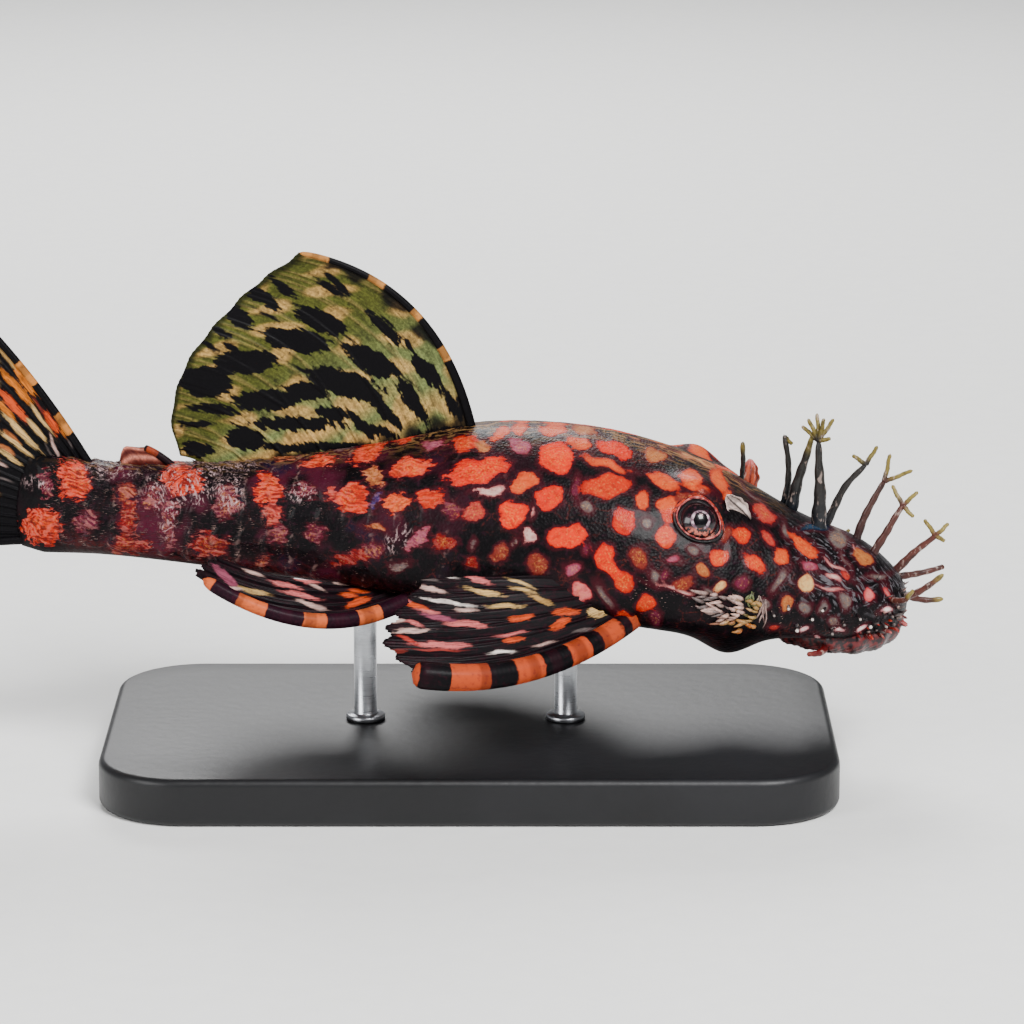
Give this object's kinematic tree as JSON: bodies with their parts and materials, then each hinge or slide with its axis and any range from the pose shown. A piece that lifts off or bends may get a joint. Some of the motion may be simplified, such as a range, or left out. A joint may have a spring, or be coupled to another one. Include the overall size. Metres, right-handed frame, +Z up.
{
  "type": "bristlenose pleco figure",
  "caption": "Life-size bristlenose pleco on a display stand: plated body, branched snout bristles, cheek spines, sucker mouth and rayed fins.",
  "frame": {"origin": "The centre of the underside of the stand's base, on the floor.", "axes": "+X towards the fish's head, +Y towards its left flank, +Z up. The stand is upright and the fish above it leans 6 degrees head down."},
  "size_m": [0.1218, 0.0508, 0.0552],
  "materials": {
    "skin": "wet black-brown skin with salmon and orange spots",
    "lips": "soft moist dull red skin",
    "eye": "clear wet dome over a dark iris",
    "fin_web": "thin olive and cream membrane with black blotches",
    "paired_fin_web": "black membrane with pale streaks and an orange-banded spine",
    "stand_base_black": "satin black",
    "stand_rod_steel": "bright satin steel"
  },
  "bodies": {
    "root": {"snout": "skin", "head": "skin", "trunk": "skin", "tail": "skin", "sucker_mouth": "lips", "eye_right": "eye", "eye_left": "eye", "dorsal_fin": "fin_web", "adipose_fin": "fin_web", "caudal_fin": "fin_web", "anal_fin": "fin_web", "pectoral_fin_right": "paired_fin_web", "pectoral_fin_left": "paired_fin_web", "pelvic_fin_right": "paired_fin_web", "pelvic_fin_left": "paired_fin_web", "stand_base": "stand_base_black", "stand_rod_front": "stand_rod_steel", "stand_rod_rear": "stand_rod_steel"}
  },
  "joints": []
}
